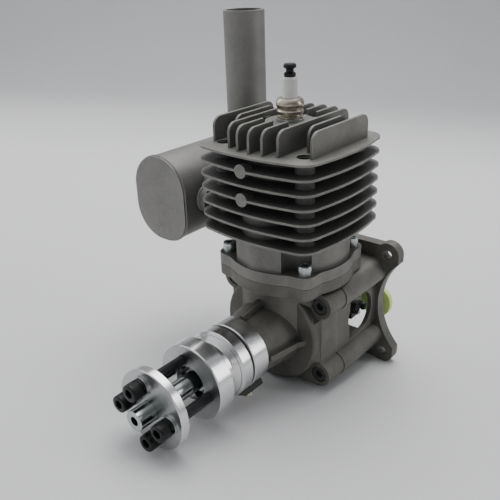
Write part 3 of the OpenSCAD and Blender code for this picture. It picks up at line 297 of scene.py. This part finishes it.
def moulded(name, colour, rough, grain=0.00003, scale=1400, soft=0.0003):
    """Moulded plastic, rubber or board."""
    s = Shader(name, colour, 0.0, rough)
    s.soften(soft)
    tone = s.remap(s.noise(120, 3), 0, 1, 0.3, 0.7)
    s.link(s.mix(tone, tuple(c * 0.8 for c in colour), tuple(min(1, c * 1.15) for c in colour)),
        s.main.inputs["Base Color"])
    s.link(s.remap(s.noise(500, 2), rough * 0.9, min(1, rough * 1.15)), s.main.inputs["Roughness"])
    s.bump(s.noise(scale, 3), grain, 0.6)
    return s


def ceramic(name):
    s = Shader(name, (0.70, 0.68, 0.66), 0.0, 0.16)
    s.main.inputs["Coat Weight"].default_value = 0.5
    s.main.inputs["Coat Roughness"].default_value = 0.06
    s.soften(0.0003)
    tone = s.remap(s.noise(90, 3), 0, 1, 0.35, 0.65)
    s.link(s.mix(tone, (0.66, 0.64, 0.615), (0.74, 0.725, 0.70)), s.main.inputs["Base Color"])
    s.link(s.remap(s.noise(300, 2), 0.12, 0.22), s.main.inputs["Roughness"])
    return s.material


def make_materials():
    lime = moulded("lime_plastic", (0.68, 0.80, 0.30), 0.5)
    lime.main.inputs["Subsurface Weight"].default_value = 0.5
    lime.main.inputs["Subsurface Scale"].default_value = 0.003
    lime.main.inputs["Subsurface Radius"].default_value = (0.8, 1.0, 0.4)
    return {
        "cast_case": cast_metal("cast_case", (0.124, 0.120, 0.107), mottle=0.9),
        "cast_cylinder": cast_metal("cast_cylinder", (0.182, 0.178, 0.164)),
        "cast_muffler": cast_metal("cast_muffler", (0.20, 0.195, 0.186), 0.00007, 0.35),
        "machined_aluminium": turned_metal("machined_aluminium", (0.74, 0.74, 0.745), 0.19, 0.31),
        "black_oxide": black_oxide("black_oxide"),
        "zinc_plate": plated_metal("zinc_plate", (0.53, 0.565, 0.56), 0.2),
        "bearing_steel": plated_metal("bearing_steel", (0.50, 0.50, 0.50), 0.22),
        "plug_nickel": plated_metal("plug_nickel", (0.56, 0.51, 0.42), 0.28),
        "plug_ceramic": ceramic("plug_ceramic"),
        "terminal_black": black_oxide("terminal_black"),
        "gasket_paper": moulded("gasket_paper", (0.05, 0.06, 0.055), 0.8).material,
        "black_rubber": moulded("black_rubber", (0.012, 0.012, 0.012), 0.6).material,
        "black_plastic": moulded("black_plastic", (0.014, 0.014, 0.014), 0.45).material,
        "brass": plated_metal("brass", (0.74, 0.66, 0.46), 0.25),
        "zinc_alloy": cast_metal("zinc_alloy", (0.34, 0.34, 0.34), 0.00005),
        "lime_plastic": lime.material,
        "reed_fibre": moulded("reed_fibre", (0.05, 0.05, 0.045), 0.5).material,
        "piston_alloy": plated_metal("piston_alloy", (0.6, 0.6, 0.59), 0.3),
        "forged_steel": plated_metal("forged_steel", (0.3, 0.3, 0.3), 0.4),
    }


MATERIALS = make_materials()


def dress_nodes():
    """Gives every CAD node the procedural material of its slot. The deep case screws are dusty."""
    dusty = black_oxide("black_oxide_dusty", 0.03)
    for part in frame["record"]["subparts"]:
        item = NODES[part["node"]]
        material = dusty if part["node"] == "case_screws" else MATERIALS[part["material_slot"]]
        if item.material_slots:
            for material_slot in item.material_slots:
                material_slot.material = material
        else:
            item.data.materials.append(material)


# Helpers that build meshes

def add_piece(name, mesh_data, body, slot_name, smooth_angle=35):
    """Links a finished bmesh as a piece with its material, rides it on a body and returns it."""
    mesh = bpy.data.meshes.new(name)
    bmesh.ops.recalc_face_normals(mesh_data, faces=mesh_data.faces)
    mesh_data.to_mesh(mesh)
    mesh_data.free()
    piece = bpy.data.objects.new(name, mesh)
    bpy.context.collection.objects.link(piece)
    mesh.materials.append(MATERIALS[slot_name])
    for polygon in mesh.polygons:
        polygon.use_smooth = True
    mesh.set_sharp_from_angle(angle=math.radians(smooth_angle))
    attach(piece, body)
    return piece


def in_mm(pairs):
    """Pairs of numbers in millimetres, as pairs in metres."""
    return [(a * MM, b * MM) for a, b in pairs]


def ring_stack(data, rings, place, count, close_start=True, close_end=True):
    """Joins rings of points into one skin. A ring is (height, radius function of the angle)."""
    rows = []
    for height, radius in rings:
        row = []
        for i in range(count):
            angle = 2 * math.pi * i / count
            r = radius(angle) if callable(radius) else radius
            row.append(data.verts.new(place @ Vector((r * math.cos(angle), r * math.sin(angle), height))))
        rows.append(row)
    for low, high in zip(rows, rows[1:]):
        for i in range(count):
            j = (i + 1) % count
            data.faces.new((low[i], low[j], high[j], high[i]))
    if close_start:
        data.faces.new(rows[0])
    if close_end:
        data.faces.new(rows[-1])


def along_minus_y(x, y, z):
    """Frame at a point whose own Z runs towards -Y."""
    return Matrix.Translation((x, y, z)) @ Matrix.Rotation(math.radians(90), 4, "X")


def hexagon(across_flats):
    """Radius function of a hexagon."""
    def radius(angle):
        part = (angle + math.pi / 6) % (math.pi / 3) - math.pi / 6
        return across_flats / 2 / math.cos(part)
    return radius


def knurled(r, depth, teeth):
    """Radius function of a straight-knurled rim."""
    def radius(angle):
        return r - depth * (0.5 + 0.5 * math.cos(angle * teeth)) ** 3
    return radius


def threaded(r, depth, pitch, height):
    """Radius function of one turn-slice of a screw thread at a height."""
    def radius(angle):
        phase = (height / pitch - angle / (2 * math.pi)) % 1
        return r - depth * abs(2 * phase - 1)
    return radius


def socket_screw(data, place, head_r, head_l, shank_r, shank_l, hex_af, thread_l=0.0, pitch=0.0008):
    """Socket cap screw. Its own Z runs out of the head, and 0 is the underside of the head."""
    teeth = 36
    edge = head_r * 0.1
    socket = hexagon(hex_af)
    rings = []
    if thread_l:
        step = pitch / 5
        count = int(thread_l / step)
        rings.append((-shank_l, shank_r - pitch * 0.8))
        for i in range(count):
            height = -shank_l + pitch * 0.6 + i * step
            rings.append((height, threaded(shank_r, pitch * 0.5, pitch, height)))
    else:
        rings.append((-shank_l, shank_r - 0.0003))
    rings.append((-shank_l + thread_l + pitch, shank_r))
    rings += [(0, shank_r), (0, head_r - edge * 0.6), (edge * 0.6, knurled(head_r, edge * 0.5, teeth)),
        (head_l * 0.72, knurled(head_r, edge * 0.5, teeth)), (head_l * 0.76, head_r * 0.985),
        (head_l - edge, head_r * 0.985), (head_l - edge * 0.3, head_r - edge * 0.5), (head_l, head_r - edge),
        (head_l, lambda a: socket(a) * 1.09), (head_l - 0.0002, socket), (head_l * 0.45, socket),
        (head_l * 0.38, hex_af * 0.1)]
    ring_stack(data, rings, place, 144)


# Pieces that stand for nodes

def prop_screws():
    """The four black screws that clamp the propeller."""
    data = bmesh.new()
    head_l = SPRING_FRONT - SCREW_FRONT
    shank_l = span("prop_screws", 1)[1] - SPRING_FRONT
    for angle in SCREW_ANGLES:
        a = math.radians(angle)
        place = along_minus_y(SCREW_CIRCLE * math.cos(a), SPRING_FRONT, SCREW_CIRCLE * math.sin(a))
        socket_screw(data, place, PROP_HEAD_R, head_l, PROP_SHANK_R, shank_l, 4 * MM, thread_l=13 * MM)
    piece = add_piece("prop_screw_set", data, "crank", "black_oxide")
    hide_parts("prop_screws")


def prop_spring_washers():
    """Split spring washers, one end standing proud of the other."""
    data = bmesh.new()
    thick = FLAT_FRONT - SPRING_FRONT
    inner = 2.75 * MM
    steps = 40
    gap = math.radians(8)
    for angle in SCREW_ANGLES:
        a = math.radians(angle)
        place = along_minus_y(SCREW_CIRCLE * math.cos(a), FLAT_FRONT, SCREW_CIRCLE * math.sin(a))
        rows = []
        for i in range(steps + 1):
            t = gap + (2 * math.pi - 2 * gap) * i / steps
            lift = thick * 0.16 * i / steps
            row = []
            for r, h in ((inner, 0), (PROP_HEAD_R - 0.0001, 0), (PROP_HEAD_R - 0.0001, thick * 0.84),
                    (inner, thick * 0.84)):
                row.append(data.verts.new(place @ Vector((r * math.cos(t), r * math.sin(t), h + lift))))
            rows.append(row)
        for low, high in zip(rows, rows[1:]):
            for k in range(4):
                n = (k + 1) % 4
                data.faces.new((low[k], low[n], high[n], high[k]))
        data.faces.new(rows[0])
        data.faces.new(rows[-1])
    piece = add_piece("prop_spring_washer_set", data, "crank", "black_oxide")
    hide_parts("prop_spring_washers")


def cylinder_screws():
    """The four plated screws on the cylinder's base flange, with their washers."""
    data = bmesh.new()
    low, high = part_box("cylinder_screws")
    head_r = 3.5 * MM
    head_l = 4.4 * MM
    x = high[0] - head_r
    dy = high[1] - head_r - CYLINDER_Y
    head_z = high[2] - head_l
    washer_t = 0.8 * MM
    for sx in (-1, 1):
        for sy in (-1, 1):
            place = Matrix.Translation((sx * x, CYLINDER_Y + sy * dy, head_z))
            socket_screw(data, place, head_r, head_l, 1.95 * MM, head_z - low[2], 3.2 * MM)
            ring_stack(data, [(-washer_t, 2.2 * MM), (-washer_t, 3.4 * MM), (-washer_t * 0.1, 3.4 * MM),
                (-washer_t * 0.02, 2.2 * MM)], place, 48)
    piece = add_piece("cylinder_screw_set", data, "root", "zinc_plate")
    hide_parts("cylinder_screws")


def plug_shell():
    """Spark plug body: thread, seat ring, chamfered hexagon, crimped bead and the earth strap."""
    data = bmesh.new()
    low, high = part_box("plug_shell")
    seat_z = span("plug_washer", 2)[1]
    top = high[2]
    turn = Matrix.Translation((0, CYLINDER_Y, 0))
    hex_af = 13.2 * MM
    bead_r = 7.0 * MM
    bead_root = 4.3 * MM
    strap_t = 0.9 * MM
    strap_half = 1.1 * MM
    thread_r = 4.95 * MM
    bore_r = span("plug_insulator", 0)[1] + 0.02 * MM
    pitch = 1 * MM
    corner = hexagon(hex_af)
    rings = [(low[2] + 1.6 * MM, thread_r - pitch * 0.8)]
    step = pitch / 5
    count = int((seat_z - low[2] - 3.4 * MM) / step)
    for i in range(count):
        height = low[2] + 2.4 * MM + i * step
        rings.append((height, threaded(thread_r, pitch * 0.5, pitch, height)))
    for up, r in in_mm([(0.0, 6.1), (0.3, 6.4), (1.0, 6.4), (1.25, 6.0), (1.45, 5.8)]):
        rings.append((seat_z + up, r))
    for up, limit in in_mm([(1.6, 6.1), (2.1, 6.55), (3.6, 6.65), (4.2, 6.2)]):
        rings.append((seat_z + up, lambda a, limit=limit: min(corner(a), limit)))
    bead_low = seat_z + 4.4 * MM
    bead_h = top - bead_low
    steps = 16
    for i in range(steps + 1):
        t = i / steps
        swell = math.sin(math.pi * (0.16 + 0.72 * t)) ** 0.7
        rings.append((bead_low + bead_h * t, bead_root + (bead_r - bead_root) * swell))
    rings += [(top, bore_r + 0.5 * MM), (top - 0.5 * MM, bore_r), (low[2] + 3 * MM, bore_r),
        (low[2] + 1.6 * MM, bore_r)]
    ring_stack(data, rings, turn, 96, close_start=False, close_end=False)
    first = rings[0][0]
    strap = [(3.4, first + 0.3 * MM), (3.4, low[2] + 0.9 * MM), (3.0, low[2] + 0.3 * MM), (2.2, low[2]),
        (-1.2, low[2])]
    rows = []
    for reach, height in strap:
        row = []
        for side in (-strap_half, strap_half):
            for thick in (0, strap_t):
                lift = thick if reach < 3 else 0
                push = thick if reach >= 3 else 0
                row.append(data.verts.new(turn @ Vector((reach * MM + push, side, height + lift))))
        rows.append([row[0], row[1], row[3], row[2]])
    for a, b in zip(rows, rows[1:]):
        for k in range(4):
            n = (k + 1) % 4
            data.faces.new((a[k], a[n], b[n], b[k]))
    data.faces.new(rows[0])
    data.faces.new(rows[-1])
    piece = add_piece("plug_body", data, "root", "plug_nickel", 30)
    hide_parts("plug_shell")


# Small pieces that are in the scene alone

def flange_lugs():
    """Round lugs of the muffler flange about its two screws, with the weld bead at the can."""
    data = bmesh.new()
    low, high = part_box("muffler_screws")
    head_r = (high[2] - low[2]) / 2
    z = (low[2] + high[2]) / 2
    start = centre("muffler_can", 0) + CAN_HALF_X
    length = span("muffler_flange", 0)[1] - start
    lug_r = 7.3 * MM
    step_r = lug_r - 0.9 * MM
    root_r = lug_r - 0.6 * MM
    bead_half = 0.9 * MM
    sunk = 0.4 * MM
    bore_r = head_r + 0.2 * MM
    for y in (low[1] + head_r, high[1] - head_r):
        place = Matrix.Translation((start, y, z)) @ Matrix.Rotation(math.radians(90), 4, "Y")
        rings = [(-sunk, root_r)]
        for i in range(7):
            t = math.pi * i / 6
            rings.append((bead_half - bead_half * math.cos(t), root_r + 0.7 * MM * math.sin(t)))
        rings += [(2.1 * MM, step_r), (3.2 * MM, step_r), (3.5 * MM, lug_r - 0.4 * MM),
            (3.8 * MM, lug_r), (length - 0.3 * MM, lug_r), (length, lug_r - 0.3 * MM), (length, bore_r),
            (-sunk, bore_r), (-sunk, root_r)]
        ring_stack(data, rings, place, 64, close_start=False, close_end=False)
    bmesh.ops.remove_doubles(data, verts=data.verts, dist=0.000001)
    add_piece("muffler_flange_lugs", data, "root", "cast_muffler")


def tube_along(data, points, r, sides=10):
    """Round wire through a list of points."""
    rows = []
    for i, point in enumerate(points):
        ahead = (points[min(i + 1, len(points) - 1)] - points[max(i - 1, 0)]).normalized()
        side = ahead.cross(Vector((0.31, 0.2, 0.93))).normalized()
        up = ahead.cross(side)
        rows.append([data.verts.new(point + r * (math.cos(2 * math.pi * k / sides) * side
            + math.sin(2 * math.pi * k / sides) * up)) for k in range(sides)])
    for low, high in zip(rows, rows[1:]):
        for k in range(sides):
            n = (k + 1) % sides
            data.faces.new((low[k], low[n], high[n], high[k]))
    data.faces.new(rows[0])
    data.faces.new(rows[-1])


def along_x(x, y, z):
    """Frame at a point whose own Z runs towards +X."""
    return Matrix.Translation((x, y, z)) @ Matrix.Rotation(math.radians(90), 4, "Y")


def throttle_rig():
    """Return spring, its retaining nut and the link ball on the throttle lever."""
    low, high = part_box("throttle_valve")
    y = (low[1] + high[1]) / 2
    z = (low[2] + high[2]) / 2
    face = span("throttle_lever", 0)[1]
    coil_r = 3.3 * MM
    coil_l = 3.3 * MM
    wire_r = 0.55 * MM
    turns = 3
    steps = 28 * turns
    start = face + 0.7 * MM
    points = [Vector((start, y - coil_r, z + 7.0 * MM)), Vector((start, y - coil_r, z + 3 * MM))]
    for i in range(steps + 1):
        angle = math.pi + 2 * math.pi * turns * i / steps
        points.append(Vector((start + coil_l * i / steps, y + coil_r * math.cos(angle),
            z + coil_r * math.sin(angle))))
    data = bmesh.new()
    tube_along(data, points, wire_r)
    nut = in_mm([(-0.3, 2.4), (3.9, 2.4), (4.3, 2.0)])
    ring_stack(data, nut, along_x(face, y, z), 32)
    ball = in_mm([(-0.2, 1.9), (0.5, 1.9), (0.6, 1.2), (1.1, 1.2), (1.4, 2.0), (2.2, 2.5), (3.0, 2.5),
        (3.8, 2.0), (4.1, 1.1)])
    ring_stack(data, ball, along_x(face, y + 9.0 * MM, z - 3.1 * MM), 32)
    add_piece("throttle_spring_and_ball", data, "throttle", "black_plastic")


def stop_bracket():
    """Black bracket on the carburettor's side that carries the idle screw."""
    data = bmesh.new()
    side = span("carburettor_body", 0)[1]
    outline = in_mm([(-9.5, -14.6), (-8.7, -15.4), (0.0, -15.4), (0.8, -14.6), (0.8, -12.6), (-1.6, -10.2),
        (-1.6, -7.6), (-2.4, -6.8), (-8.7, -6.8), (-9.5, -7.6)])
    mid_y = sum(y for y, z in outline) / len(outline)
    mid_z = sum(z for y, z in outline) / len(outline)
    chamfered = 0.9375
    rows = []
    for out, scale in ((0.02, 1), (1.7, 1), (1.95, chamfered)):
        rows.append([data.verts.new(Vector((side + out * MM, mid_y + (y - mid_y) * scale,
            mid_z + (z - mid_z) * scale))) for y, z in outline])
    for low, high in zip(rows, rows[1:]):
        for k in range(len(outline)):
            n = (k + 1) % len(outline)
            data.faces.new((low[k], low[n], high[n], high[k]))
    data.faces.new(rows[0])
    data.faces.new(rows[-1])
    add_piece("throttle_stop_bracket", data, "root", "black_plastic")
    screw = bmesh.new()
    place = along_x(side + 2.6 * MM, -3.2 * MM, -12.6 * MM)
    socket_screw(screw, place, 1.5 * MM, 1.3 * MM, 0.8 * MM, 2.0 * MM, 1.0 * MM)
    add_piece("idle_screw", screw, "root", "zinc_plate")


# Scene round the object

FLOOR_TILT = -6.84
FLOOR_LOW_Z = -38.4 * MM
WORLD_DARK = 0.18
WORLD_BRIGHT = 1.0


def sweep_paper(ahead):
    """Pale matt paper, only just uneven, with painted shade that greys it towards its near end."""
    s = Shader("sweep_paper", (0.78, 0.78, 0.785), 0.0, 0.7)
    dot = s.node("ShaderNodeVectorMath", operation="DOT_PRODUCT")
    dot.inputs[1].default_value = ahead
    s.link(s.place, dot.inputs[0])
    # Painted shade: the paper is darker towards the camera and lighter away from it.
    painted_falloff = s.remap(dot.outputs["Value"], 0, 1, -0.30, 0.55)
    uneven = s.remap(s.noise(3, 2), -0.08, 0.08, 0.3, 0.7)
    tone = s.mix(s.math("ADD", painted_falloff, uneven), (0.64, 0.64, 0.645), (0.83, 0.83, 0.835))
    s.link(tone, s.main.inputs["Base Color"])
    return s.material


def make_floor():
    """A pale sweep: the table under the engine, tilted because the engine rests nose down, and a backdrop."""
    data = bmesh.new()
    half = 8.0
    near = -6.0
    bend = 1.3
    radius = 0.7
    wall = 2.6
    slope = math.tan(math.radians(FLOOR_TILT))
    profile = [(near, 0.0), (bend, 0.0)]
    steps = 16
    for i in range(1, steps + 1):
        t = math.pi / 2 * i / steps
        profile.append((bend + radius * math.sin(t), radius * (1 - math.cos(t))))
    profile.append((bend + radius, wall))
    ahead = Vector((-math.sin(math.radians(CAMERA_AZIMUTH)), math.cos(math.radians(CAMERA_AZIMUTH)), 0))
    aside = Vector((math.cos(math.radians(CAMERA_AZIMUTH)), math.sin(math.radians(CAMERA_AZIMUTH)), 0))
    rows = []
    for distance, height in profile:
        row = []
        for side in (-half, half):
            p = ahead * distance + aside * side
            row.append(data.verts.new((p.x, p.y, FLOOR_LOW_Z + slope * p.y + height)))
        rows.append(row)
    for low, high in zip(rows, rows[1:]):
        data.faces.new((low[0], low[1], high[1], high[0]))
    mesh = bpy.data.meshes.new("sweep")
    data.to_mesh(mesh)
    data.free()
    for polygon in mesh.polygons:
        polygon.use_smooth = True
    sweep = bpy.data.objects.new("sweep", mesh)
    bpy.context.collection.objects.link(sweep)
    mesh.materials.append(sweep_paper(ahead))


def area_light(name, place, target, size, power, colour=(1, 1, 1)):
    data = bpy.data.lights.new(name, "AREA")
    data.shape = "RECTANGLE"
    data.size = size[0]
    data.size_y = size[1]
    data.energy = power
    data.color = colour
    lamp = bpy.data.objects.new(name, data)
    lamp.location = place
    lamp.rotation_euler = (Vector(target) - Vector(place)).to_track_quat("-Z", "Y").to_euler()
    bpy.context.collection.objects.link(lamp)


def make_world():
    """A light tent: bright above and to the left, dim to the right."""
    world = bpy.data.worlds.new("studio")
    bpy.context.scene.world = world
    world.use_nodes = True
    tree = world.node_tree
    background = tree.nodes["Background"]
    background.inputs["Color"].default_value = (0.95, 0.97, 1.0, 1)
    direction = tree.nodes.new("ShaderNodeTexCoord").outputs["Generated"]
    bright_side = Vector((-0.72, 0.10, 0.68)).normalized()
    dot = tree.nodes.new("ShaderNodeVectorMath")
    dot.operation = "DOT_PRODUCT"
    dot.inputs[1].default_value = bright_side
    tree.links.new(direction, dot.inputs[0])
    ramp = tree.nodes.new("ShaderNodeMapRange")
    ramp.interpolation_type = "SMOOTHSTEP"
    ramp.inputs["From Min"].default_value = -0.25
    ramp.inputs["From Max"].default_value = 0.95
    ramp.inputs["To Min"].default_value = WORLD_DARK
    ramp.inputs["To Max"].default_value = WORLD_BRIGHT
    tree.links.new(dot.outputs["Value"], ramp.inputs["Value"])
    tree.links.new(ramp.outputs["Result"], background.inputs["Strength"])


def make_lights():
    middle = (0, -0.06, 0.05)
    area_light("top", (-0.15, 0.35, 1.1), middle, (1.0, 1.0), 13)
    area_light("left", (-1.2, -0.1, 0.7), middle, (0.5, 0.9), 3.0)
    area_light("low_front", (0.75, -1.1, 0.24), middle, (0.7, 0.2), 0.35)
    area_light("right_edge", (1.0, 0.65, 0.45), middle, (0.25, 0.8), 2.5)


make_camera()
dress_nodes()
prop_screws()
prop_spring_washers()
cylinder_screws()
plug_shell()
flange_lugs()
throttle_rig()
stop_bracket()
make_floor()
make_world()
make_lights()
